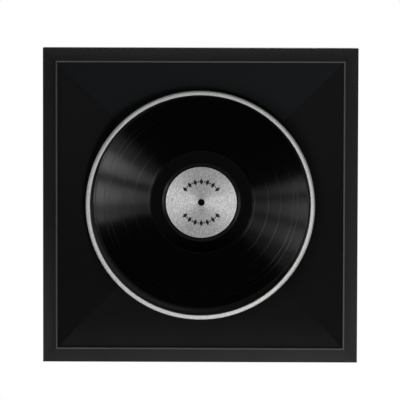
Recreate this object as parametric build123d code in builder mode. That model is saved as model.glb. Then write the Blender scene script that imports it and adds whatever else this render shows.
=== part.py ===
from build123d import *
import os
from math import hypot, sqrt

os.makedirs("parts", exist_ok=True)

# The origin is the centre of the wall plane. +Z is up and the front faces -Y.
# A height is a distance from the wall towards the front, so it lies at y = -height.

# Frame rails
sight_margin = 48.2
rail_width = 20.0
rail_depth = 36.0
rabbet_width = 7.0
lip_thickness = 4.5
face_fall = 0.6
edge_round = 1.0
bead_width = 2.2
bead_rise = 0.6
quirk_width = 0.3
quirk_depth = 0.6

# Boards in the rabbet
board_play = 0.4
liner_thickness = 3.0
liner_foot_gap = 0.4
spacer_width = 6.0
mount_board_thickness = 4.0
back_panel_thickness = 3.0
panel_inset = 0.3

# Record
record_radius = 150.8
record_thickness = 2.0
record_hole_radius = 3.65
record_shift_right = 1.3
record_shift_up = 3.6
record_edge_gap = 0.6
label_radius = 49.5
label_thickness = 0.15
ridge_gap = 1.5
ridge_width = 4.6
ridge_height = 0.2
run_out_width = 15.4
groove_sink = 0.22
edge_band_width = 3.6
edge_round_radius = 0.45
track_gap_width = 1.6
track_gap_depth = 0.08
track_gap_shares = (0.30, 0.525, 0.76, 0.855)

# Well that the record lies in
plinth_thickness = 11.0
plinth_fit = 0.1
pad_thickness = 2.0
pad_radius = 47.0
record_lift = 0.1
well_depth = 12.1
hoop_thickness = 3.0
rim_reveal = 3.0
rim_outer_lip = 1.5
rim_thickness = 6.0
rim_groove_depth = 2.5
rim_groove_fit = 0.1
rim_land_width = 2.8
rim_bevel_drop = 2.8
rim_edge_round = 0.4

# Peg, cap and screw in the middle of the record
peg_clearance = 0.05
peg_flange_radius = 11.0
peg_flange_thickness = 2.0
peg_flange_fit = 0.1
peg_stand_out = 0.25
stub_radius = 2.3
stub_length = 1.5
cap_radius = 4.7
cap_thickness = 2.2
cap_round = 0.5
peg_screw_radius = 2.0
peg_screw_length = 17.0
peg_screw_head_radius = 3.9
peg_screw_head_height = 2.2
pad_hole_gap = 0.6

# Screws from the mount board into the plinth
plinth_screw_count = 6
plinth_screw_circle_radius = 105.0
plinth_screw_radius = 1.75
plinth_screw_length = 12.0
plinth_screw_head_radius = 3.4
plinth_screw_head_height = 1.9
screw_fit = 0.03

# Turn buttons and their screws
button_offset_share = 0.55
button_reach = 17.0
button_pivot_radius = 4.5
button_tip_radius = 3.2
button_thickness = 1.2
button_gap = 0.1
button_rib_width = 1.6
button_rib_height = 0.4
button_rib_shares = (0.42, 0.95)
button_edge_round = 0.3
button_hole_clearance = 0.06
screw_radius = 1.5
screw_length = 12.0
screw_head_radius = 2.9
screw_head_height = 1.5
screw_head_round = 0.9
screw_slot_width = 0.7
screw_slot_depth = 0.6
screw_slot_share = 0.8

# V-nails across the mitres
nail_leg = 3.5
nail_sheet = 0.6
nail_depth = 7.0
nail_insets = (3.5, 8.5)

# Hangers
hanger_up_share = 0.36
strap_width = 9.0
strap_tongue_width = 4.6
strap_tongue_length = 3.2
strap_length = 29.0
strap_thickness = 0.8
strap_end_round = 3.0
strap_hole_places = (14.0, 23.5)
strap_hole_clearance = 0.1
wire_radius = 0.9
wire_clearance = 0.06
ring_half_width = 5.1
ring_corner_radius = 1.5
ring_height = 9.0

# Bumpers between the frame and the wall
bumper_thickness = 4.0
bumper_radius = 4.5
bumper_corner_inset = 30.0
bumper_edge_round = 0.8

# Heights above the wall and half sizes that follow
sight_half = record_radius + sight_margin
frame_half = sight_half + rail_width
rabbet_half = sight_half + rabbet_width
board_half = rabbet_half - board_play
back_land_middle = frame_half - (rail_width - rabbet_width) / 2
rail_back = bumper_thickness
rail_front = rail_back + rail_depth
lip_back = rail_front - lip_thickness
flange_back = lip_back - liner_thickness
panel_back = rail_back + panel_inset
board_back = panel_back + back_panel_thickness
base = board_back + mount_board_thickness
pad_back = base + plinth_thickness
record_back = pad_back + pad_thickness + record_lift
record_front = record_back + record_thickness
record_shift = hypot(record_shift_right, record_shift_up)
hoop_inner_radius = record_radius + record_shift + record_edge_gap
hoop_outer_radius = hoop_inner_radius + hoop_thickness
rim_inner_radius = record_radius + rim_reveal
rim_outer_radius = hoop_outer_radius + rim_outer_lip
rim_front = record_front + well_depth
rim_back = rim_front - rim_thickness
hoop_front = rim_back + rim_groove_depth
ridge_inner_radius = label_radius + ridge_gap
groove_inner_radius = ridge_inner_radius + ridge_width + run_out_width
peg_radius = record_hole_radius - peg_clearance
peg_shoulder = record_front + peg_stand_out
sides = {"bottom": 0, "left": 90, "top": 180, "right": 270}


def keep(builder, name):
    """Labels a finished piece and writes it."""
    builder.part.label = name
    export_step(builder.part, f"parts/{name}.step")


def facing(height, across=0.0, up=0.0):
    """Plane parallel to the wall at a height, looking towards the front."""
    return Plane(origin=(across, -height, up), x_dir=(1, 0, 0), z_dir=(0, -1, 0))


def turned(corner_side, across, up):
    """Where a point of the bottom side comes to on another side."""
    point = Vector(across, 0, up).rotate(Axis.Y, sides[corner_side])
    return point.X, point.Z


def mitred(section):
    """Runs a section along the bottom side and cuts its ends on the frame's diagonals."""
    with BuildPart() as side:
        extrude(section.sketch, amount=2 * frame_half)
        for lean in (1, -1):
            split(bisect_by=Plane(origin=(0, 0, 0), z_dir=(lean, 0, 1)), keep=Keep.BOTTOM)
    return side


def rail_section():
    """Rail in section: face falling outwards, quirk, bead at the sight edge and rabbet behind."""
    outer = -frame_half
    face_edge = rail_front - face_fall
    face_inner = rail_width - bead_width - quirk_width
    bead_foot = rail_front - quirk_depth

    def at(width, height):
        return (-height, outer + width)

    with BuildSketch(Plane.YZ.offset(-frame_half)) as section:
        with BuildLine():
            side_top = at(0, face_edge - edge_round)
            Line(at(0, rail_back), side_top)
            RadiusArc(side_top, at(edge_round, face_edge), -edge_round)
            TangentArc(at(face_inner, rail_front), at(edge_round, face_edge), tangent=(0, -1))
            Line(at(face_inner, rail_front), at(face_inner, bead_foot))
            Line(at(face_inner, bead_foot), at(rail_width - bead_width, bead_foot))
            ThreePointArc(
                at(rail_width - bead_width, bead_foot),
                at(rail_width - bead_width / 2, bead_foot + bead_rise),
                at(rail_width, bead_foot),
            )
            Polyline(
                at(rail_width, bead_foot),
                at(rail_width, lip_back),
                at(rail_width - rabbet_width, lip_back),
                at(rail_width - rabbet_width, rail_back),
                at(0, rail_back),
            )
        make_face()
    return section


def liner_section():
    """Liner board in section: flat flange under the lip, then a fall to the mount board."""
    foot = hoop_outer_radius / sqrt(2)
    fall = flange_back - base - liner_foot_gap
    run = sight_half - foot
    inner = foot - rabbet_width
    inner_fall = fall * (sight_half - inner) / run
    with BuildSketch(Plane.YZ.offset(-frame_half)) as section:
        with BuildLine():
            Polyline(
                (-lip_back, -board_half),
                (-lip_back, -sight_half),
                (-lip_back + inner_fall, -inner),
                (-flange_back + inner_fall, -inner),
                (-flange_back, -sight_half),
                (-flange_back, -board_half),
                close=True,
            )
        make_face()
    return section


def spacer_section():
    """Spacer strip in section."""
    with BuildSketch(Plane.YZ.offset(-frame_half)) as section:
        with Locations((-base, -board_half)):
            Rectangle(flange_back - base, spacer_width, align=(Align.MAX, Align.MIN))
    return section


# V-nails: two bent strips pressed in across each mitre, flush with the rails' backs
with BuildPart() as v_nails:
    for side_name in sides:
        for inset in nail_insets:
            with BuildSketch(facing(rail_back)) as nail:
                with BuildLine():
                    near = -frame_half + inset
                    Polyline(
                        *[
                            turned(side_name, near + across, near + up)
                            for across, up in (
                                (0, 0),
                                (nail_leg, 0),
                                (nail_leg, nail_sheet),
                                (nail_sheet, nail_sheet),
                                (nail_sheet, nail_leg),
                                (0, nail_leg),
                            )
                        ],
                        close=True,
                    )
                make_face()
            extrude(amount=nail_depth)
keep(v_nails, "v_nails")

button_offset = button_offset_share * frame_half
button_places = {
    "bottom_left": ("bottom", -button_offset),
    "bottom_right": ("bottom", button_offset),
    "left_upper": ("left", -button_offset),
    "left_lower": ("left", button_offset),
    "top_right": ("top", -button_offset),
    "top_left": ("top", button_offset),
    "right_lower": ("right", -button_offset),
    "right_upper": ("right", button_offset),
}
button_screw_points = [
    turned(side_name, along, -back_land_middle) for side_name, along in button_places.values()
]
hanger_pivot_up = hanger_up_share * frame_half
hanger_screw_points = [
    (hand * back_land_middle, hanger_pivot_up - place)
    for hand in (-1, 1)
    for place in strap_hole_places
]

# Rails: the bottom one, turned for the other sides, with pilot holes from behind
rail_bottom = mitred(rail_section())
for side_name, angle in sides.items():
    with BuildPart() as rail:
        add(rail_bottom.part, rotation=(0, angle, 0))
        add(v_nails.part, mode=Mode.SUBTRACT)
        with BuildSketch(facing(rail_back)):
            with Locations(*button_screw_points, *hanger_screw_points):
                Circle(screw_radius + screw_fit)
        extrude(amount=screw_length, mode=Mode.SUBTRACT)
    keep(rail, f"rail_{side_name}")

# Liner boards: cut round the hoop
liner_bottom = mitred(liner_section())
with BuildPart(mode=Mode.PRIVATE) as liner_cut:
    with BuildSketch(facing(0)):
        Circle(hoop_outer_radius + board_play)
    extrude(amount=rail_front)
for side_name, angle in sides.items():
    with BuildPart() as liner:
        add(liner_bottom.part, rotation=(0, angle, 0))
        add(liner_cut.part, mode=Mode.SUBTRACT)
    keep(liner, f"liner_{side_name}")

# Spacer strips between the liner's flange and the mount board
spacer_bottom = mitred(spacer_section())
for side_name, angle in sides.items():
    with BuildPart() as spacer:
        add(spacer_bottom.part, rotation=(0, angle, 0))
    keep(spacer, f"spacer_{side_name}")


def countersunk_screw(radius, length, head_radius, head_height):
    """Countersunk screw on the Y axis, its head's face at the origin and its point to the front."""
    with BuildPart() as screw:
        with BuildSketch(Plane.XY):
            with BuildLine():
                Polyline(
                    (0, 0),
                    (head_radius, 0),
                    (radius, -head_height),
                    (radius, -length + radius),
                    (0, -length),
                    close=True,
                )
            make_face()
        revolve(axis=Axis.Y)
    return screw


single_peg_screw = countersunk_screw(
    peg_screw_radius, peg_screw_length, peg_screw_head_radius, peg_screw_head_height
)
with BuildPart() as peg_screw:
    with Locations((record_shift_right, -board_back, record_shift_up)):
        add(single_peg_screw.part)
keep(peg_screw, "peg_screw")

single_plinth_screw = countersunk_screw(
    plinth_screw_radius, plinth_screw_length, plinth_screw_head_radius, plinth_screw_head_height
)
with BuildPart() as plinth_screws:
    for step in range(plinth_screw_count):
        place = Vector(plinth_screw_circle_radius, 0, 0).rotate(Axis.Y, step * 360 / plinth_screw_count)
        with Locations((place.X, -board_back, place.Z)):
            add(single_plinth_screw.part)
keep(plinth_screws, "plinth_screws")

# Mount board, countersunk from behind for both kinds of screw
with BuildPart() as mount_board:
    with BuildSketch(facing(board_back)):
        Rectangle(2 * board_half, 2 * board_half)
    extrude(amount=mount_board_thickness)
    add(peg_screw.part, mode=Mode.SUBTRACT)
    add(plinth_screws.part, mode=Mode.SUBTRACT)
keep(mount_board, "mount_board")

# Back panel
with BuildPart() as back_panel:
    with BuildSketch(facing(panel_back)):
        Rectangle(2 * board_half, 2 * board_half)
    extrude(amount=back_panel_thickness)
keep(back_panel, "back_panel")

# Plinth disc: the well's floor, with a seat for the peg's flange
with BuildPart() as plinth_disc:
    with BuildSketch(facing(base)):
        Circle(hoop_inner_radius - plinth_fit)
    extrude(amount=plinth_thickness)
    with BuildSketch(facing(pad_back - peg_flange_thickness)):
        with Locations((record_shift_right, record_shift_up)):
            Circle(peg_flange_radius + peg_flange_fit)
    extrude(amount=peg_flange_thickness, mode=Mode.SUBTRACT)
    add(peg_screw.part, mode=Mode.SUBTRACT)
    add(plinth_screws.part, mode=Mode.SUBTRACT)
keep(plinth_disc, "plinth_disc")

# Hoop round the plinth
with BuildPart() as well_hoop:
    with BuildSketch(facing(base)):
        Circle(hoop_outer_radius)
        Circle(hoop_inner_radius, mode=Mode.SUBTRACT)
    extrude(amount=hoop_front - base)
keep(well_hoop, "well_hoop")

# Rim: a ring in section with a flat land, a bevel that falls outwards and a groove over the hoop
with BuildPart() as rim_ring:
    with BuildSketch(Plane.XY):
        with BuildLine():
            land_end = (rim_inner_radius + rim_land_width, -rim_front)
            bevel_end = (rim_outer_radius, -rim_front + rim_bevel_drop)
            Line((rim_inner_radius, -rim_front + rim_edge_round), (rim_inner_radius + rim_edge_round, -rim_front))
            Line((rim_inner_radius + rim_edge_round, -rim_front), land_end)
            TangentArc(land_end, bevel_end, tangent=(1, 0))
            groove_inner = hoop_inner_radius - rim_groove_fit
            groove_outer = hoop_outer_radius + rim_groove_fit
            Polyline(
                bevel_end,
                (rim_outer_radius, -rim_back),
                (groove_outer, -rim_back),
                (groove_outer, -hoop_front),
                (groove_inner, -hoop_front),
                (groove_inner, -rim_back),
                (rim_inner_radius, -rim_back),
                (rim_inner_radius, -rim_front + rim_edge_round),
            )
        make_face()
    revolve(axis=Axis.Y)
keep(rim_ring, "rim_ring")

record_axis = Axis((record_shift_right, 0, record_shift_up), (0, 1, 0))
record_plane = Plane(origin=(record_shift_right, 0, record_shift_up), x_dir=(1, 0, 0), z_dir=(0, 0, 1))

# Record: label land, ridge round it, run-out, sunk grooves with track gaps, raised rounded edge
with BuildPart() as record_disc:
    groove_outer_radius = record_radius - edge_band_width
    groove_run = groove_outer_radius - groove_inner_radius
    ridge_middle = ridge_inner_radius + ridge_width / 2
    groove_front = record_front - groove_sink
    outline = [
        (record_hole_radius, record_front - label_thickness),
        (label_radius, record_front - label_thickness),
        (label_radius, record_front - groove_sink / 2),
        (ridge_inner_radius, record_front - groove_sink / 2),
        (ridge_middle, record_front - groove_sink / 2 + ridge_height),
        (ridge_inner_radius + ridge_width, record_front - groove_sink / 2),
        (groove_inner_radius, groove_front),
    ]
    for share in track_gap_shares:
        gap_middle = groove_inner_radius + share * groove_run
        outline += [
            (gap_middle - track_gap_width / 2, groove_front),
            (gap_middle, groove_front - track_gap_depth),
            (gap_middle + track_gap_width / 2, groove_front),
        ]
    outline += [
        (groove_outer_radius, groove_front),
        (groove_outer_radius + edge_band_width / 2, record_front),
        (record_radius - edge_round_radius, record_front),
        (record_radius, record_front - edge_round_radius),
        (record_radius, record_back + edge_round_radius),
        (record_radius - edge_round_radius, record_back),
        (groove_outer_radius + edge_band_width / 2, record_back),
        (groove_outer_radius, record_back + groove_sink),
        (groove_inner_radius, record_back + groove_sink),
        (label_radius, record_back + groove_sink / 2),
        (label_radius, record_back + label_thickness),
        (record_hole_radius, record_back + label_thickness),
    ]
    with BuildSketch(record_plane):
        with BuildLine():
            Polyline(*[(radius, -height) for radius, height in outline], close=True)
        make_face()
    revolve(axis=record_axis)
keep(record_disc, "record_disc")

# Labels: thin rings let into both sides of the record
for label_name, label_height in (
    ("label_front", record_front - label_thickness),
    ("label_back", record_back),
):
    with BuildPart() as label:
        with BuildSketch(facing(label_height)):
            with Locations((record_shift_right, record_shift_up)):
                Circle(label_radius)
                Circle(record_hole_radius, mode=Mode.SUBTRACT)
        extrude(amount=label_thickness)
    keep(label, label_name)

# Felt pad under the label land
with BuildPart() as felt_pad:
    with BuildSketch(facing(pad_back)):
        with Locations((record_shift_right, record_shift_up)):
            Circle(pad_radius)
            Circle(peg_radius + pad_hole_gap, mode=Mode.SUBTRACT)
    extrude(amount=pad_thickness)
keep(felt_pad, "felt_pad")

# Spindle peg: flange in the plinth, shaft through the record, stub for the cap
with BuildPart() as spindle_peg:
    with BuildSketch(record_plane):
        with BuildLine():
            flange_back_height = pad_back - peg_flange_thickness
            Polyline(
                (0, -flange_back_height),
                (peg_flange_radius, -flange_back_height),
                (peg_flange_radius, -pad_back),
                (peg_radius, -pad_back),
                (peg_radius, -peg_shoulder),
                (stub_radius, -peg_shoulder),
                (stub_radius, -peg_shoulder - stub_length),
                (0, -peg_shoulder - stub_length),
                close=True,
            )
        make_face()
    revolve(axis=record_axis)
    add(peg_screw.part, mode=Mode.SUBTRACT)
keep(spindle_peg, "spindle_peg")

# Cap pressed on the peg's stub, a little wider than the record's hole
with BuildPart() as peg_cap:
    with BuildSketch(facing(peg_shoulder)):
        with Locations((record_shift_right, record_shift_up)):
            Circle(cap_radius)
    extrude(amount=cap_thickness)
    fillet(peg_cap.faces().sort_by(Axis.Y)[0].edges(), cap_round)
    with BuildSketch(facing(peg_shoulder)):
        with Locations((record_shift_right, record_shift_up)):
            Circle(stub_radius)
    extrude(amount=stub_length, mode=Mode.SUBTRACT)
keep(peg_cap, "peg_cap")

# Turn buttons: a tapered plate with a stiffening rib, each swivelling on its screw
button_back = rail_back - button_gap - button_thickness
with BuildPart() as button_blank:
    pivot_up = -back_land_middle
    with BuildSketch(facing(button_back)):
        with Locations((0, pivot_up)):
            Circle(button_pivot_radius)
        with Locations((0, pivot_up + button_reach)):
            Circle(button_tip_radius)
        make_hull()
        with Locations((0, pivot_up)):
            Circle(screw_radius + button_hole_clearance, mode=Mode.SUBTRACT)
    extrude(amount=button_thickness)
    back_rim = button_blank.faces().sort_by(Axis.Y)[-1].outer_wire()
    fillet(back_rim.edges(), button_edge_round)
    rib_start, rib_end = [pivot_up + share * button_reach for share in button_rib_shares]
    with BuildSketch(facing(button_back)):
        with Locations((0, (rib_start + rib_end) / 2)):
            SlotCenterToCenter(rib_end - rib_start, button_rib_width, rotation=90)
    extrude(amount=-button_rib_height)
for button_name, (side_name, along) in button_places.items():
    with BuildPart() as turn_button:
        with Locations(Location((0, 0, 0), (0, sides[side_name], 0))):
            with Locations(Location((along, 0, 0))):
                add(button_blank.part)
    keep(turn_button, f"turn_button_{button_name}")


def pan_head_screws(points, head_seat):
    """Pan-head screws driven from behind, their heads resting just clear of head_seat."""
    with BuildPart() as screws:
        with BuildSketch(facing(head_seat)):
            with Locations(*points):
                Circle(screw_head_radius)
        extrude(amount=-screw_head_height)
        backs = screws.faces().filter_by(Axis.Y).group_by(Axis.Y)[-1]
        fillet([edge for face in backs for edge in face.edges()], screw_head_round)
        with BuildSketch(facing(head_seat)):
            with Locations(*points):
                Circle(screw_radius)
        extrude(amount=screw_length)
        with BuildSketch(facing(head_seat - screw_head_height)):
            with Locations(*points):
                Rectangle(2 * screw_head_radius * screw_slot_share, screw_slot_width)
        extrude(amount=screw_slot_depth, mode=Mode.SUBTRACT)
    return screws


keep(pan_head_screws(button_screw_points, button_back - button_gap), "turn_button_screws")
strap_back = rail_back - strap_thickness
keep(pan_head_screws(hanger_screw_points, strap_back), "hanger_screws")

# Hangers: strap plates rolled round the straight side of a D-ring
knuckle_radius = wire_radius + wire_clearance + strap_thickness
knuckle_height = rail_back - knuckle_radius
for hanger_name, hand in (("left", -1), ("right", 1)):
    middle = hand * back_land_middle
    with BuildPart() as hanger_plate:
        with BuildSketch(facing(strap_back)) as strap:
            with Locations((middle, hanger_pivot_up)):
                Rectangle(strap_tongue_width, strap_length, align=(Align.CENTER, Align.MAX))
            with Locations((middle, hanger_pivot_up - strap_tongue_length)):
                Rectangle(
                    strap_width,
                    strap_length - strap_tongue_length,
                    align=(Align.CENTER, Align.MAX),
                )
            fillet(strap.vertices().group_by(Axis.Y)[0], strap_end_round)
            with Locations(*[(middle, hanger_pivot_up - place) for place in strap_hole_places]):
                Circle(screw_radius + strap_hole_clearance, mode=Mode.SUBTRACT)
        extrude(amount=strap_thickness)
        knuckle_plane = Plane(
            origin=(middle, -knuckle_height, hanger_pivot_up), x_dir=(0, 1, 0), z_dir=(1, 0, 0)
        )
        with BuildSketch(knuckle_plane):
            Circle(knuckle_radius)
        extrude(amount=strap_tongue_width / 2, both=True)
        with BuildSketch(knuckle_plane):
            Circle(wire_radius + wire_clearance)
        extrude(amount=strap_width, both=True, mode=Mode.SUBTRACT)
    keep(hanger_plate, f"hanger_plate_{hanger_name}")

    ring_plane = facing(knuckle_height, middle, hanger_pivot_up)
    with BuildPart() as hanger_ring:
        with BuildLine(ring_plane) as ring_path:
            inner_half = ring_half_width - ring_corner_radius
            shoulder = ring_height - ring_half_width
            bar = Line((-inner_half, 0), (inner_half, 0))
            right_corner = TangentArc(bar @ 1, (ring_half_width, ring_corner_radius), tangent=bar % 1)
            right_side = Line(right_corner @ 1, (ring_half_width, shoulder))
            bow = TangentArc(right_side @ 1, (-ring_half_width, shoulder), tangent=right_side % 1)
            left_side = Line(bow @ 1, (-ring_half_width, ring_corner_radius))
            TangentArc(left_side @ 1, bar @ 0, tangent=left_side % 1)
        with BuildSketch(Plane(origin=ring_path.line @ 0, z_dir=ring_path.line % 0)):
            Circle(wire_radius)
        sweep()
    keep(hanger_ring, f"hanger_ring_{hanger_name}")

# Bumpers behind the top and bottom rails
with BuildPart() as wall_bumpers:
    with BuildSketch(facing(0)):
        with GridLocations(2 * (frame_half - bumper_corner_inset), 2 * back_land_middle, 2, 2):
            Circle(bumper_radius)
    extrude(amount=bumper_thickness)
    wall_faces = wall_bumpers.faces().filter_by(Axis.Y).group_by(Axis.Y)[-1]
    fillet([edge for face in wall_faces for edge in face.edges()], bumper_edge_round)
keep(wall_bumpers, "wall_bumpers")
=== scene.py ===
import math

import bmesh
import bpy
from mathutils import Matrix, Vector


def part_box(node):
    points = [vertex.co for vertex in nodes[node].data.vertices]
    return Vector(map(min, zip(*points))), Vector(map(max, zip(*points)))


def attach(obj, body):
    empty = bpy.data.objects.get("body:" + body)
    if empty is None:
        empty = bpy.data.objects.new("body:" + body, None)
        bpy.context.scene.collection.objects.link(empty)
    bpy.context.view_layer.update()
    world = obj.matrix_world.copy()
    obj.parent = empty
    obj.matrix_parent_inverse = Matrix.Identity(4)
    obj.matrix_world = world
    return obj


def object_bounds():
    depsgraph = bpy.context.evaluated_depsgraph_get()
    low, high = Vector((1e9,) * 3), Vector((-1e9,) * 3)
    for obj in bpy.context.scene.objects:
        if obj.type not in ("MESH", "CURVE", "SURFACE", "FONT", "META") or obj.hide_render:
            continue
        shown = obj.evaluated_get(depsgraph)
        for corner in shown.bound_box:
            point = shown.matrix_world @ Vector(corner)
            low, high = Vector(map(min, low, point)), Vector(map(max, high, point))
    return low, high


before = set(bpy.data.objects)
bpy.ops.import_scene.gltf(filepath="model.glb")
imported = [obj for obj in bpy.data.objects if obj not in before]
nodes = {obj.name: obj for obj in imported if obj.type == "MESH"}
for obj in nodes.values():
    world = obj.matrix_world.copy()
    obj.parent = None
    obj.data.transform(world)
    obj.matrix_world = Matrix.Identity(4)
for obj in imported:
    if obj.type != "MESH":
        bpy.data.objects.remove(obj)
cad_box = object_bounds()

# Places on the CAD part that the looks follow; every length in this script is in metres
SIGHT_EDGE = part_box("rail_right")[0][0]
OUTER_EDGE = cad_box[1][0]
LABEL_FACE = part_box("label_front")[0][1]
record_low, record_high = (Vector(corner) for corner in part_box("record_disc"))
RECORD_CENTRE = (record_low + record_high) / 2

# Most of a noise lies between these two values
NOISE_LOW, NOISE_HIGH = 0.3, 0.7


# Material building blocks
class Graph:
    """A node tree with short calls for the nodes used here."""

    def __init__(self, tree):
        self.nodes = tree.nodes
        self.links = tree.links

    def add(self, kind, **settings):
        node = self.nodes.new("ShaderNode" + kind)
        for key, value in settings.items():
            setattr(node, key, value)
        return node

    def feed(self, socket, value):
        """Links a socket to an output, or sets its value."""
        if isinstance(value, bpy.types.NodeSocket):
            self.links.new(value, socket)
        else:
            socket.default_value = value

    def math(self, operation, first, second=0.0):
        node = self.add("Math", operation=operation)
        self.feed(node.inputs[0], first)
        self.feed(node.inputs[1], second)
        return node.outputs[0]

    def vector(self, operation, first, second=None, scale=None):
        node = self.add("VectorMath", operation=operation)
        self.feed(node.inputs[0], first)
        if second is not None:
            self.feed(node.inputs[1], second)
        if scale is not None:
            self.feed(node.inputs["Scale"], scale)
        return node.outputs["Value" if operation in ("LENGTH", "DOT_PRODUCT") else "Vector"]

    def axes(self, kind="Object"):
        """The outputs X, Y and Z of a texture coordinate, by default the piece's own."""
        split = self.add("SeparateXYZ")
        self.feed(split.inputs[0], self.add("TexCoord").outputs[kind])
        return split.outputs

    def place(self, stretch=(1, 1, 1), shift=(0, 0, 0)):
        """The piece's own coordinates, moved and stretched."""
        coordinates = self.add("TexCoord").outputs["Object"]
        moved = self.vector("SUBTRACT", coordinates, shift)
        return self.vector("MULTIPLY", moved, stretch)

    def noise(self, vector, scale, detail=3.0, roughness=0.5):
        node = self.add("TexNoise")
        self.feed(node.inputs["Vector"], vector)
        node.inputs["Scale"].default_value = scale
        node.inputs["Detail"].default_value = detail
        node.inputs["Roughness"].default_value = roughness
        return node.outputs["Fac"]

    def cells(self, vector, scale, output="Distance"):
        node = self.add("TexVoronoi")
        self.feed(node.inputs["Vector"], vector)
        node.inputs["Scale"].default_value = scale
        return node.outputs[output]

    def spread(self, value, low, high, to_low=0.0, to_high=1.0, smooth=False):
        """Carries a range over to another one and stops at its ends."""
        node = self.add("MapRange", interpolation_type="SMOOTHSTEP" if smooth else "LINEAR")
        for index, item in enumerate((value, low, high, to_low, to_high)):
            self.feed(node.inputs[index], item)
        return node.outputs[0]

    def swing(self, noise, to_low=0.0, to_high=1.0):
        """Spreads the middle of a noise over a range."""
        return self.spread(noise, NOISE_LOW, NOISE_HIGH, to_low, to_high)

    def blend(self, factor, first, second):
        node = self.add("Mix", data_type="RGBA")
        self.feed(node.inputs[0], factor)
        for socket, value in ((node.inputs[6], first), (node.inputs[7], second)):
            self.feed(socket, (*value, 1.0) if isinstance(value, tuple) else value)
        return node.outputs[2]

    def curve(self, value, stops):
        """A value that runs straight between stops of place from 0 to 1 and value."""
        node = self.add("FloatCurve")
        points = node.mapping.curves[0].points
        while len(points) < len(stops):
            points.new(0.5, 0.5)
        for point, (place, height) in zip(points, stops):
            point.location = (place, height)
            point.handle_type = "VECTOR"
        node.mapping.update()
        self.feed(node.inputs["Value"], value)
        return node.outputs[0]

    def tinted(self, value, tint=(1, 1, 1)):
        """A colour of one tint whose strength is a socket's value."""
        shade = self.add("CombineXYZ")
        for socket in shade.inputs:
            self.feed(socket, value)
        return self.vector("MULTIPLY", shade.outputs[0], tint)

    def rays(self):
        """Whether a ray comes from the camera, and whether from a mirror or through glass."""
        ray = self.add("LightPath").outputs
        return ray["Is Camera Ray"], self.math("MAXIMUM", ray["Is Glossy Ray"], ray["Is Transmission Ray"])


class Tree(Graph):
    """A material's node tree."""

    def __init__(self, name):
        self.material = bpy.data.materials.new(name)
        self.material.use_nodes = True
        super().__init__(self.material.node_tree)
        self.shader = self.nodes["Principled BSDF"]

    def bump(self, height, strength, distance, normal=None):
        node = self.add("Bump")
        node.inputs["Strength"].default_value = strength
        node.inputs["Distance"].default_value = distance
        self.feed(node.inputs["Height"], height)
        if normal is not None:
            self.feed(node.inputs["Normal"], normal)
        return node.outputs[0]

    def round_brushed(self):
        """Tangents that run round the record's axis."""
        return self.add("Tangent", direction_type="RADIAL", axis="Y").outputs[0]

    def finish(self, color, roughness, normal=None, metallic=0.0, **sockets):
        """Feeds the shader and gives back the material."""
        inputs = self.shader.inputs
        self.feed(inputs["Base Color"], (*color, 1.0) if isinstance(color, tuple) else color)
        self.feed(inputs["Roughness"], roughness)
        self.feed(inputs["Metallic"], metallic)
        if normal is not None:
            self.feed(inputs["Normal"], normal)
        for key, value in sockets.items():
            self.feed(inputs[key.replace("_", " ")], value)
        return self.material


def grey(tone):
    return (tone, tone, tone)


def scaled(tone, factor):
    return tuple(factor * part for part in tone)


def dress(material, *names):
    """Gives CAD nodes a material."""
    for name in names:
        mesh = nodes[name].data
        mesh.materials.clear()
        mesh.materials.append(material)


# Satin black rails: brushed paint over close grain that runs along each rail, with painted light and
# shade: paler outside, lighter or darker along each rail, and a painted highlight on the bead
BEAD_WIDTH, BEAD_FADE_IN, BEAD_FADE_OUT = 0.0022, 0.0001, 0.0002
GRAIN_STRETCH = {"X": (0.06, 1, 1), "Z": (1, 1, 0.06)}
ACROSS = {"X": "Z", "Z": "X"}
SPECK_TONE, SPECK_SHARE = (0.05, 0.05, 0.052), 0.3


def rail_paint(name, along, tint, stops, outer_light_gain, bead_highlight_tone):
    """Painted light and shade: lighter or darker along its length, by stops of place and tone, paler
    outside, and a painted highlight on the bead.
    """
    tree = Tree(name)
    grain = tree.noise(tree.place(GRAIN_STRETCH[along]), scale=900, detail=4, roughness=0.6)
    cloud = tree.noise(tree.place(), scale=9)
    speck = tree.spread(tree.cells(tree.place(), scale=420), 0.0, 0.12, 1.0, 0.0)
    axes = tree.axes()
    across = tree.math("ABSOLUTE", axes[ACROSS[along]])
    bead_foot = SIGHT_EDGE + BEAD_WIDTH
    # Painted light: paler towards the outer edge
    gain = tree.spread(across, bead_foot, OUTER_EDGE, 1.0, outer_light_gain)
    gain = tree.math("MULTIPLY", gain, tree.spread(cloud, 0.2, 0.8, 0.85, 1.15))
    length = tree.spread(axes[along], -OUTER_EDGE, OUTER_EDGE)
    color = tree.tinted(tree.math("MULTIPLY", gain, tree.curve(length, stops)), tint)
    color = tree.blend(tree.math("MULTIPLY", speck, SPECK_SHARE), color, SPECK_TONE)
    # Painted highlight along the bead at the sight edge, broken up by the grain
    bead = tree.spread(across, bead_foot - BEAD_FADE_IN, bead_foot + BEAD_FADE_OUT, 1.0, 0.0)
    painted_light = tree.swing(grain, 0.75, 1.0)
    color = tree.blend(tree.math("MULTIPLY", bead, painted_light), color, bead_highlight_tone)
    fine = tree.bump(grain, strength=0.22, distance=0.0002)
    relief = tree.bump(cloud, strength=0.1, distance=0.0006, normal=fine)
    return tree.finish(color, tree.swing(grain, 0.48, 0.58), relief, Specular_IOR_Level=0.1)


# Each rail's tint is a lit or shaded copy of one black, and its stops paint light and shade along it
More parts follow.
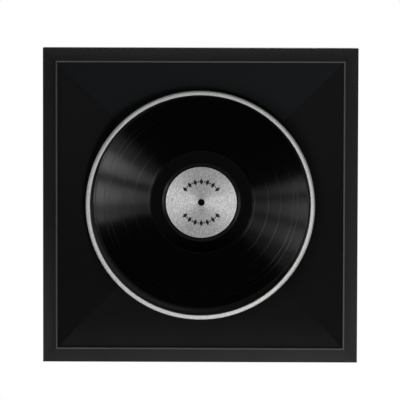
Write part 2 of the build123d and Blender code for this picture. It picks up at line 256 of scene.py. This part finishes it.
RAILS = {
    "top": dict(
        along="X", tint=(0.0146, 0.0149, 0.0148), outer_light_gain=2.15, bead_highlight_tone=(0.115, 0.118, 0.118),
        stops=((0, 0.8), (0.2, 1.0), (0.8, 1.0), (1, 0.9)),
    ),
    "bottom": dict(
        along="X", tint=(0.0259, 0.0257, 0.0269), outer_light_gain=1.15, bead_highlight_tone=(0.11, 0.11, 0.112),
        stops=((0, 0.8), (0.27, 0.84), (0.5, 0.92), (0.73, 1.0), (1, 0.9)),
    ),
    "left": dict(
        along="Z", tint=(0.0140, 0.0145, 0.0143), outer_light_gain=2.1, bead_highlight_tone=(0.085, 0.092, 0.087),
        stops=((0, 1.0), (0.18, 0.82), (0.3, 0.7), (0.45, 0.49), (0.85, 0.49), (1, 0.66)),
    ),
    "right": dict(
        along="Z", tint=(0.0172, 0.0172, 0.0172), outer_light_gain=1.6, bead_highlight_tone=(0.12, 0.12, 0.12),
        stops=((0, 1.0), (0.14, 0.87), (0.27, 0.75), (0.5, 0.71), (0.77, 0.72), (1, 0.8)),
    ),
}
for side, look in RAILS.items():
    dress(rail_paint("rail_paint_" + side, **look), "rail_" + side)


# Matt black liner boards: rolled paint with a faint orange-peel; each side's tones and their change from
# end to end are painted light and shade
DUST_TONE, DUST_SHARE = (0.1, 0.1, 0.1), 0.25


def liner_paint(name, first, second, axis, start, stop):
    """Goes from the first tone to the second between two places on an axis: a painted light and shade
    gradient.
    """
    tree = Tree(name)
    along = tree.spread(tree.axes()[axis], start, stop, smooth=True)
    peel = tree.noise(tree.place(), scale=700, detail=2)
    cloud = tree.noise(tree.place(), scale=14, detail=4, roughness=0.6)
    dust = tree.spread(tree.cells(tree.place(), scale=260), 0.0, 0.035, 1.0, 0.0)
    color = tree.tinted(tree.swing(cloud, 0.92, 1.08), tree.blend(along, first, second))
    color = tree.blend(tree.math("MULTIPLY", dust, DUST_SHARE), color, DUST_TONE)
    relief = tree.bump(peel, strength=0.25, distance=0.0003)
    return tree.finish(color, tree.swing(cloud, 0.56, 0.66), relief, Specular_IOR_Level=0.05)


# Each side's two tones are lit and shaded copies of one black: painted light and shade
LINERS = {
    "top": dict(
        first=(0.0078, 0.0087, 0.0094), second=(0.0088, 0.0099, 0.0106), axis="X", start=-0.2, stop=0.2
    ),
    "bottom": dict(
        first=(0.0146, 0.0146, 0.0158), second=(0.0085, 0.0085, 0.0095), axis="Z", start=-0.199, stop=-0.15
    ),
    "left": dict(
        first=(0.0034, 0.0034, 0.0036), second=(0.0088, 0.0090, 0.0092), axis="Z", start=-0.1, stop=0.2
    ),
    "right": dict(
        first=(0.0058, 0.0057, 0.0062), second=(0.0100, 0.0098, 0.0104), axis="Z", start=-0.02, stop=0.16
    ),
}
for side, look in LINERS.items():
    dress(liner_paint("liner_paint_" + side, **look), "liner_" + side)


# Well: charcoal plinth and black hoop
def matt_paint(name, tone, roughness=0.6, scale=600, gloss=0.5):
    tree = Tree(name)
    peel = tree.noise(tree.place(), scale)
    cloud = tree.noise(tree.place(), scale=25)
    color = tree.blend(cloud, scaled(tone, 0.85), scaled(tone, 1.15))
    rough = tree.swing(cloud, roughness - 0.06, roughness + 0.06)
    relief = tree.bump(peel, strength=0.3, distance=0.0003)
    return tree.finish(color, rough, relief, Specular_IOR_Level=gloss)


# Each is two places along X on the plinth, and how much painted light there is there
PAINTED_LIGHT_LEFT = (-0.146, -0.105, 0.05, 0.0)
PAINTED_LIGHT_RIGHT = (0.115, 0.15, 0.0, 1.0)


def plinth_paint(name, tone, painted_light):
    """Matt paint with painted light: paler to the right, and a trace of it to the left."""
    tree = Tree(name)
    across = tree.axes()["X"]
    sideways = tree.math("MAXIMUM", tree.spread(across, *PAINTED_LIGHT_LEFT), tree.spread(across, *PAINTED_LIGHT_RIGHT))
    peel = tree.noise(tree.place(), scale=600)
    color = tree.blend(tree.swing(peel, 0.0, 0.3), tree.blend(sideways, tone, painted_light), tone)
    relief = tree.bump(peel, strength=0.3, distance=0.0003)
    return tree.finish(color, tree.swing(peel, 0.54, 0.66), relief, Specular_IOR_Level=0.2)


dress(plinth_paint("plinth_paint", (0.018, 0.018, 0.019), grey(0.24)), "plinth_disc")
dress(matt_paint("hoop_black", (0.03, 0.03, 0.031), 0.5, gloss=0.2), "well_hoop")
dress(matt_paint("board_black", grey(0.012)), "mount_board")
strips = ["spacer_" + side for side in ("bottom", "left", "top", "right")]
dress(matt_paint("stained_strip", (0.02, 0.014, 0.01), 0.7, scale=300), *strips)


# Bare fibreboard back: long pale fibres and flecks in a cloudy brown
def fibreboard(name):
    tree = Tree(name)
    fibres = tree.noise(tree.place((1, 1, 0.25)), scale=420, detail=5, roughness=0.7)
    flecks = tree.cells(tree.place((0.4, 1, 1)), scale=380)
    cloud = tree.noise(tree.place(), scale=11, detail=4, roughness=0.6)
    color = tree.blend(cloud, (0.26, 0.165, 0.095), (0.35, 0.235, 0.145))
    color = tree.blend(tree.spread(fibres, 0.35, 0.7, 0, 0.55), color, (0.17, 0.1, 0.055))
    color = tree.blend(tree.spread(flecks, 0.0, 0.25, 0.45, 0.0), color, (0.46, 0.34, 0.22))
    relief = tree.bump(fibres, strength=0.35, distance=0.0004)
    return tree.finish(color, tree.swing(fibres, 0.7, 0.85), relief)


dress(fibreboard("fibreboard"), "back_panel")


# Silver rim and labels: glitter film over metal
FACET_SHARE, SPARK_SHARE, SPARK_FINER = 0.6, 0.4, 2.6
THIRDS = (0.333, 0.333, 0.333)


def silver(name, tone, metallic, roughness, size, relief, contrast, **sockets):
    """Size is how many facets there are to a metre, and contrast how far their tones part."""
    tree = Tree(name)
    grit = tree.noise(tree.place(), size, detail=2, roughness=0.7)
    patch = tree.noise(tree.place(), scale=35, detail=2)
    facet = tree.vector("DOT_PRODUCT", tree.cells(tree.place(), size, "Color"), THIRDS)
    spark = tree.vector("DOT_PRODUCT", tree.cells(tree.place(), size * SPARK_FINER, "Color"), THIRDS)
    mixed = tree.math(
        "ADD", tree.math("MULTIPLY", facet, FACET_SHARE), tree.math("MULTIPLY", spark, SPARK_SHARE)
    )
    color = tree.blend(tree.swing(mixed), scaled(tone, 1 - contrast), scaled(tone, 1 + contrast))
    color = tree.blend(tree.swing(patch, 0.0, 0.2), color, tone)
    rough = tree.swing(grit, roughness - 0.08, roughness + 0.08)
    if "Anisotropic" in sockets:
        sockets["Tangent"] = tree.round_brushed()
    return tree.finish(color, rough, tree.bump(facet, relief, distance=0.0002), metallic, **sockets)


rim_film = silver(
    "rim_silver", (0.69, 0.69, 0.67), metallic=0.35, roughness=0.5, size=1300, relief=0.5, contrast=0.25
)
label_film = silver(
    "label_silver", grey(0.64), metallic=0.5, roughness=0.42, size=900, relief=0.4, contrast=0.4,
    Anisotropic=0.65, Anisotropic_Rotation=0.25,
)
dress(rim_film, "rim_ring")
dress(label_film, "label_front", "label_back")

# Grooved vinyl: gloss black whose grooves spread each light along the radius.
# Each pair is two radii between which one state fades into the next.
GROOVES_BEGIN, GROOVES_END = (0.0705, 0.0718), (0.1472, 0.1484)
RIDGE_RISE, RIDGE_FALL = (0.0508, 0.0514), (0.0546, 0.0552)
RAISED_EDGE = (0.1478, 0.1486)
# Radius and half width of the gaps between the tracks
TRACK_GAPS = ((0.0746, 0.0007), (0.0937, 0.0007), (0.1108, 0.0006), (0.1288, 0.0007), (0.1357, 0.0006))
# Each four is two radii and the values that hold there
ROUGHER_OUTWARDS = (0.075, 0.148, 0.95, 1.13)
GROOVE_GLINT = (0.08, 0.148, 0.04, 0.036)
GAP_GLINT_SHARE = (0.075, 0.13, 0.37, 0.64)
# Scale of the noise that parts the rings, and the roughness that it swings between
RING_SCALE, GROOVE_ROUGHNESS, GAP_ROUGHNESS = 900, (0.109, 0.154), 0.278
# The land's share of the grooves' roughness, and how much of a groove the ridge counts as
LAND_SHARE, RIDGE_ZONE = 0.2, 1.15
# The raised ridge and edge are painted a paler grey: a painted sheen where they catch the light
LAND_TONE, RAISED_SHEEN_TONE = grey(0.0002), grey(0.015)
# Cosines between which a normal comes to face the front, and how far it is then turned there
FACES_FRONT, CALMING = (0.97, 0.99), 0.85


def gap_lines(tree, radius):
    """Is 1 in the middle of each gap between the tracks."""
    lines = 0.0
    for place, half in TRACK_GAPS:
        away = tree.math("ABSOLUTE", tree.math("SUBTRACT", radius, place))
        line = tree.spread(away, 0.5 * half, 1.5 * half, 1.0, 0.0, smooth=True)
        lines = tree.math("ADD", lines, line)
    return lines


def groove_roughness(tree, radius, gaps, zones):
    """Changes from ring to ring, grows outwards, and is least on the land and most in the gaps."""
    ring = tree.add("CombineXYZ")
    tree.feed(ring.inputs[0], radius)
    bands = tree.noise(ring.outputs[0], RING_SCALE, detail=4, roughness=0.75)
    roughness = tree.spread(bands, 0.25, 0.75, *GROOVE_ROUGHNESS)
    roughness = tree.math("MULTIPLY", roughness, tree.spread(radius, *ROUGHER_OUTWARDS))
    share = tree.math("ADD", tree.math("MULTIPLY", zones, 1 - LAND_SHARE), LAND_SHARE)
    roughness = tree.math("MULTIPLY", roughness, share)
    rougher = tree.math("MULTIPLY", gaps, tree.math("SUBTRACT", GAP_ROUGHNESS, roughness))
    return tree.math("ADD", roughness, rougher)


def calmed_normal(tree, radius):
    """The mesh's normal, turned most of the way to the front where it nearly faces it."""
    front = tree.add("VectorTransform", vector_type="NORMAL", convert_from="OBJECT", convert_to="WORLD")
    front.inputs[0].default_value = (0, -1, 0)
    flat = front.outputs[0]
    true_normal = tree.add("NewGeometry").outputs["Normal"]
    upright = tree.spread(tree.vector("DOT_PRODUCT", true_normal, flat), *FACES_FRONT)
    calm = tree.math("MULTIPLY", upright, tree.spread(radius, *GROOVES_END, CALMING, 0.0))
    kept = tree.vector("SCALE", true_normal, scale=tree.math("SUBTRACT", 1.0, calm))
    turned = tree.vector("SCALE", flat, scale=calm)
    return tree.vector("NORMALIZE", tree.vector("ADD", kept, turned))


def grooved_vinyl(name):
    """Dark metal in the grooves, and black plastic inside and outside of them, with a painted sheen of
    paler grey on the raised ridge and edge.
    """
    tree = Tree(name)
    radius = tree.vector("LENGTH", tree.place((1, 0, 1), tuple(RECORD_CENTRE)))
    gaps = gap_lines(tree, radius)
    past_land = tree.spread(radius, *GROOVES_BEGIN)
    in_grooves = tree.math("MULTIPLY", past_land, tree.spread(radius, *GROOVES_END, 1.0, 0.0))
    on_ridge = tree.math(
        "MULTIPLY", tree.spread(radius, *RIDGE_RISE), tree.spread(radius, *RIDGE_FALL, 1.0, 0.0)
    )
    zones = tree.math("MAXIMUM", past_land, tree.math("MULTIPLY", on_ridge, RIDGE_ZONE))
    raised = tree.math("MAXIMUM", on_ridge, tree.spread(radius, *RAISED_EDGE))
    gap_gain = tree.spread(gaps, 0.0, 1.0, 1.0, tree.spread(radius, *GAP_GLINT_SHARE))
    glint = tree.math("MULTIPLY", tree.spread(radius, *GROOVE_GLINT), gap_gain)
    return tree.finish(
        tree.blend(in_grooves, tree.blend(raised, LAND_TONE, RAISED_SHEEN_TONE), tree.tinted(glint)),
        groove_roughness(tree, radius, gaps, zones),
        calmed_normal(tree, radius),
        metallic=in_grooves,
        Anisotropic=1.0,
        Anisotropic_Rotation=0.25,
        Tangent=tree.round_brushed(),
    )


dress(grooved_vinyl("vinyl"), "record_disc")

# Printed marks on the label: two arcs of slim lozenges with dots between
LOZENGES, ARC_RADIUS, ARC_HALF_SPAN = 7, 0.029, 51
LOZENGE_SIZE, DOT_SIZE = (0.0090, 0.0054), (0.0026, 0.0026)
MARK_LIFT, MARK_THICKNESS = 0.00004, 0.00006


def mark_outlines():
    """Corners of each lozenge and dot, turn about along the upper arc and then the lower one."""
    steps = 2 * (LOZENGES - 1)
    for sign in (1, -1):
        for index in range(steps + 1):
            height, width = DOT_SIZE if index % 2 else LOZENGE_SIZE
            angle = math.radians(ARC_HALF_SPAN * (2 * index / steps - 1))
            out = Vector((math.sin(angle), 0, sign * math.cos(angle)))
            along = Vector((out.z, 0, -out.x))
            spot = Vector((RECORD_CENTRE.x, LABEL_FACE - MARK_LIFT, RECORD_CENTRE.z)) + ARC_RADIUS * out
            up, across = height / 2 * out, width / 2 * along
            yield [spot + corner for corner in (up, across, -up, -across)]


def label_marks(name):
    bm = bmesh.new()
    for outline in mark_outlines():
        bm.faces.new([bm.verts.new(corner) for corner in outline])
    depth = bmesh.ops.extrude_face_region(bm, geom=bm.faces[:])
    moved = [item for item in depth["geom"] if isinstance(item, bmesh.types.BMVert)]
    bmesh.ops.translate(bm, verts=moved, vec=(0, MARK_THICKNESS, 0))
    bmesh.ops.recalc_face_normals(bm, faces=bm.faces)
    mesh = bpy.data.meshes.new(name)
    bm.to_mesh(mesh)
    bm.free()
    made = bpy.data.objects.new(name, mesh)
    bpy.context.scene.collection.objects.link(made)
    return made


def ink(name):
    tree = Tree(name)
    blot = tree.noise(tree.place(), scale=900)
    color = tree.blend(blot, grey(0.003), grey(0.009))
    return tree.finish(color, tree.swing(blot, 0.45, 0.6), Specular_IOR_Level=0.2)


marks = label_marks("label_marks")
marks.data.materials.append(ink("label_ink"))
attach(marks, "record")

# Small parts
dress(matt_paint("felt", grey(0.02), 0.9, scale=900), "felt_pad")
dress(matt_paint("peg_plastic", grey(0.0015), 0.6, scale=500, gloss=0.05), "spindle_peg", "peg_cap")
dress(matt_paint("rubber", grey(0.012), 0.75, scale=700), "wall_bumpers")


def plated(name, tone, roughness):
    """Brushed metal with a cloudy tarnish."""
    tree = Tree(name)
    scratch = tree.noise(tree.place((1, 1, 0.1)), scale=1600, roughness=0.7)
    tarnish = tree.noise(tree.place(), scale=90, detail=4, roughness=0.6)
    color = tree.blend(tree.spread(tarnish, 0.35, 0.7), tone, scaled(tone, 0.72))
    rough = tree.swing(scratch, roughness - 0.07, roughness + 0.1)
    return tree.finish(color, rough, tree.bump(scratch, strength=0.12, distance=0.0001), metallic=1.0)


ZINC, NICKEL, BRASS = (0.62, 0.61, 0.58), (0.66, 0.65, 0.62), (0.68, 0.5, 0.22)
dress(plated("zinc", ZINC, 0.28), "turn_button_screws", "hanger_screws", "peg_screw", "plinth_screws")
dress(plated("nail_steel", grey(0.5), 0.38), "v_nails")
dress(plated("nickel", NICKEL, 0.2), "hanger_plate_left", "hanger_plate_right")
dress(plated("nickel_wire", NICKEL, 0.16), "hanger_ring_left", "hanger_ring_right")
buttons = [name for name in nodes if name.startswith("turn_button_") and name != "turn_button_screws"]
dress(plated("brass", BRASS, 0.3), *buttons)

# Room lamps, aimed at the middle of the frame
AIM_POINT = Vector((0, -0.03, 0))


def area(name, place, aim, size, power):
    light = bpy.data.lights.new(name, "AREA")
    light.shape = "RECTANGLE"
    light.size, light.size_y = size
    light.energy = power
    lamp = bpy.data.objects.new(name, light)
    bpy.context.scene.collection.objects.link(lamp)
    lamp.visible_camera = False
    lamp.location = place
    lamp.rotation_mode = "QUATERNION"
    lamp.rotation_quaternion = (Vector(aim) - Vector(place)).to_track_quat("-Z", "Y")
    return lamp


def room_lamp(name, distance, polar, azimuth, size, power):
    """A lamp at an angle off the frame's front axis, turned from +X towards +Z, in degrees."""
    sideways, round_axis = math.radians(polar), math.radians(azimuth)
    way = Vector((
        math.sin(sideways) * math.cos(round_axis),
        -math.cos(sideways),
        math.sin(sideways) * math.sin(round_axis),
    ))
    return area(name, AIM_POINT + distance * way, AIM_POINT, size, power)


def link_light(name, lamps, pieces, state):
    """Lets lamps light only some pieces, or all but those."""
    group = bpy.data.collections.new(name)
    for piece in pieces:
        group.objects.link(piece)
    for lamp in lamps:
        lamp.light_linking.receiver_collection = group
    for entry in group.collection_objects:
        entry.light_linking.link_state = state


room_lamps = (
    room_lamp("key_low_right", distance=1.35, polar=31, azimuth=-48, size=(0.3, 0.3), power=4.3),
    room_lamp("fill_low", distance=1.2, polar=52, azimuth=-95, size=(1.2, 0.9), power=4.3),
    room_lamp("fill_high", distance=1.8, polar=55, azimuth=90, size=(1.0, 0.4), power=1.5),
    room_lamp("fill_left", distance=1.5, polar=50, azimuth=172, size=(0.6, 0.6), power=3.0),
)

# The record keeps only the windows' streaks, so the room's lamps pass it by, and its label too
LABEL_LAMP_SIZE, LABEL_LAMP_AWAY, LABEL_LAMP_DROP = (0.1, 0.4), 0.9, 0.06
record_only = [nodes["record_disc"]]
label_pieces = [nodes["label_front"], marks]
link_light("passed_by", room_lamps, record_only + label_pieces, "EXCLUDE")
label_lamps = []
for name, across, power in (("label_right", 0.36, 1.5), ("label_left", -0.31, 0.95)):
    place = RECORD_CENTRE + Vector((across, -LABEL_LAMP_AWAY, -LABEL_LAMP_DROP))
    label_lamps.append(area(name, place, RECORD_CENTRE, LABEL_LAMP_SIZE, power))
link_light("label_only", label_lamps, label_pieces, "INCLUDE")

# Windows to the left and right, each in four panes that light one sector of the grooves each.
# A sector is where the pane's and the camera's offsets from the record's axis add up.
# Only the far tail of the fine grooves' gloss shines, so the record has stronger panes of its own.
PANE_WIDTH, WINDOW_AWAY = 0.02, 0.9
# A pane's power is given for this height
PANE_UNIT = 0.1
# The camera's offsets to the right and up, over its distance
CAMERA_LEAN = (0.0098, 0.0724)
# Each pane: the angles in degrees between which its sector lies, and its share of the power
WINDOWS = {
    "right": dict(
        offset=0.36, room_power=0.34, record_power=0.62,
        panes=((13, 5, 0.8), (1, -11, 0.9), (-15, -28, 1.0), (-30, -39, 0.38)),
    ),
    "left": dict(
        offset=-0.315, room_power=0.194, record_power=0.76,
        panes=((-11, -5.5, 0.48), (-2, 11, 0.8), (17, 29, 1.05), (31, 39, 0.28)),
    ),
}
windows, streaks = [], []


def pane_reach(offset, first, last):
    """Heights of a pane's lower and upper edge, off the record's axis."""
    reach = abs(offset / WINDOW_AWAY + CAMERA_LEAN[0])
    return sorted(
        WINDOW_AWAY * (math.tan(math.radians(angle)) * reach - CAMERA_LEAN[1]) for angle in (first, last)
    )


def hang_window(side, offset, room_power, record_power, panes):
    for index, (first, last, share) in enumerate(panes):
        low, high = pane_reach(offset, first, last)
        place = RECORD_CENTRE + Vector((offset, -WINDOW_AWAY, (low + high) / 2))
        ahead = place + Vector((0, 1, 0))
        size = (PANE_WIDTH, high - low)
        for kind, lamps, power in (("window", windows, room_power), ("streak", streaks, record_power)):
            strength = power * share * (high - low) / PANE_UNIT
            lamps.append(area(f"{kind}_{side}_{index}", place, ahead, size, strength))


for side, window in WINDOWS.items():
    hang_window(side, **window)
link_light("no_record", windows, record_only, "EXCLUDE")
link_light("record_only", streaks, record_only, "INCLUDE")
area("lamp_back", place=(0.6, 1.6, 1.0), aim=(0, 0, 0), size=(1.2, 1.2), power=14)


# World: white to the camera, bright behind the frame, and a faint band just below the horizon.
# Each four is two heights of a ray's direction and the values that hold there.
BAND_BEGINS, BAND_ENDS = (-0.088, -0.080, 0.0, 0.07), (-0.045, 0.0, 1.0, 0.2)
# How far back a ray's direction points where the brightness behind begins and is full
BRIGHT_BEHIND = (0.0, 0.55)
# The share of that brightness for rays that are neither mirrored nor through glass
UNMIRRORED_SHARE = 0.6


def studio_world(name):
    world = bpy.data.worlds.new(name)
    world.use_nodes = True
    sky = Graph(world.node_tree)
    sky.nodes.clear()
    way = sky.axes("Generated")
    seen, mirrored = sky.rays()
    behind = sky.spread(way["Y"], *BRIGHT_BEHIND, smooth=True)
    backdrop = sky.math("MULTIPLY", behind, sky.spread(mirrored, 0.0, 1.0, UNMIRRORED_SHARE, 1.0))
    band = sky.math(
        "MULTIPLY",
        sky.spread(way["Z"], *BAND_BEGINS, smooth=True),
        sky.spread(way["Z"], *BAND_ENDS, smooth=True),
    )
    background = sky.add("Background")
    glow = sky.math("MAXIMUM", sky.math("MAXIMUM", backdrop, band), seen)
    sky.feed(background.inputs["Color"], glow)
    sky.feed(sky.add("OutputWorld").inputs["Surface"], background.outputs[0])
    return world


bpy.context.scene.world = studio_world("studio")

# Pale floor far below the frame. It glows to the camera and, behind the frame, to mirrored rays.
FLOOR_Z, FLOOR_HALF, FLOOR_GLOW = -1.1, 3.0, 0.78
# Distances from the floor's middle at which the glow starts to rise and is white
GLOW_START, GLOW_FULL = 0.4 * FLOOR_HALF, 0.9 * FLOOR_HALF
# Places along Y at which mirrored rays begin to show the glow and show all of it
MIRRORED_FROM, MIRRORED_FULL = 0.0, 0.4


def pale_floor(name):
    tree = Tree(name)
    tone = tree.blend(tree.noise(tree.place(), scale=6), grey(0.78), grey(0.82))
    tree.finish(tone, 0.6)
    seen, mirrored = tree.rays()
    behind = tree.spread(tree.axes()["Y"], MIRRORED_FROM, MIRRORED_FULL)
    glow = tree.add("Emission")
    outwards = tree.vector("LENGTH", tree.place())
    tree.feed(glow.inputs["Strength"], tree.spread(outwards, GLOW_START, GLOW_FULL, FLOOR_GLOW, 1.0))
    unlit = tree.add("Emission")
    unlit.inputs["Strength"].default_value = 0.0
    pick = tree.add("MixShader")
    tree.feed(pick.inputs[0], tree.math("MAXIMUM", seen, tree.math("MULTIPLY", mirrored, behind)))
    tree.feed(pick.inputs[1], unlit.outputs[0])
    tree.feed(pick.inputs[2], glow.outputs[0])
    both = tree.add("AddShader")
    tree.feed(both.inputs[0], tree.shader.outputs[0])
    tree.feed(both.inputs[1], pick.outputs[0])
    tree.feed(tree.nodes["Material Output"].inputs[0], both.outputs[0])
    return tree.material


def make_floor(name):
    mesh = bpy.data.meshes.new(name)
    bm = bmesh.new()
    bmesh.ops.create_grid(bm, x_segments=1, y_segments=1, size=FLOOR_HALF)
    bm.to_mesh(mesh)
    bm.free()
    mesh.materials.append(pale_floor("floor_pale"))
    made = bpy.data.objects.new(name, mesh)
    made.location = (0, 0, FLOOR_Z)
    bpy.context.scene.collection.objects.link(made)
    return made


floor = make_floor("floor")

# Camera: a long lens, a little above and to the right
ELEVATION, AZIMUTH, ROLL = math.radians(4.1), math.radians(0.6), math.radians(0.135)
DISTANCE, LENS, SENSOR_WIDTH, CLIP_END = 4.6, 297.7, 36, 100
CAMERA_AIM = Vector((-0.0004, -0.04, 0.0079))


def make_camera(name):
    back = Vector((
        math.sin(AZIMUTH) * math.cos(ELEVATION),
        -math.cos(AZIMUTH) * math.cos(ELEVATION),
        math.sin(ELEVATION),
    ))
    made = bpy.data.objects.new(name, bpy.data.cameras.new(name))
    bpy.context.scene.collection.objects.link(made)
    made.data.sensor_width = SENSOR_WIDTH
    made.data.lens = LENS
    made.data.clip_end = CLIP_END
    made.location = CAMERA_AIM + DISTANCE * back
    turn = (-back).to_track_quat("-Z", "Y").to_matrix() @ Matrix.Rotation(ROLL, 3, "Z")
    made.rotation_mode = "QUATERNION"
    made.rotation_quaternion = turn.to_quaternion()
    return made


bpy.context.scene.camera = make_camera("camera")
bpy.context.scene.view_settings.view_transform = "Standard"
